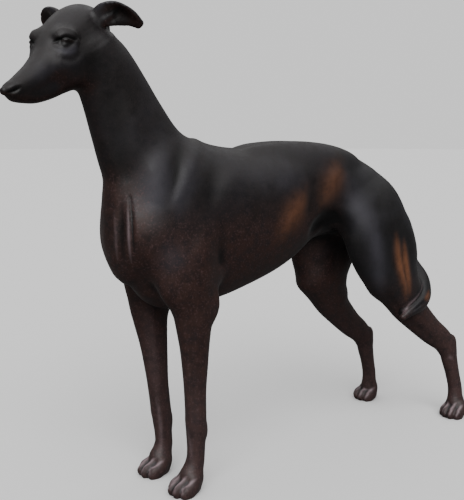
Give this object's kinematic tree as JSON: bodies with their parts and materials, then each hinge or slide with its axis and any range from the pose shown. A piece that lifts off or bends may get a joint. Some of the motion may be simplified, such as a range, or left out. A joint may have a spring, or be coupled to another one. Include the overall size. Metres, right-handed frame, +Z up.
{
  "type": "greyhound ornament",
  "caption": "Standing greyhound figure cast in one piece, long neck and head turned to its left, folded ears, tail laid round the left hind leg, flat soles; shelf or table ornament.",
  "frame": {"origin": "on the floor under the middle of the figure's bounding box", "axes": "+Z up, the dog faces -Y, its left side is +X"},
  "size_m": [0.0876, 0.3502, 0.2882],
  "materials": {
    "dark_patina": "satin near-black bronze-toned patina over cast resin, rubbed through to orange-brown in places"
  },
  "bodies": {
    "root": {"greyhound": "dark_patina"}
  },
  "joints": []
}
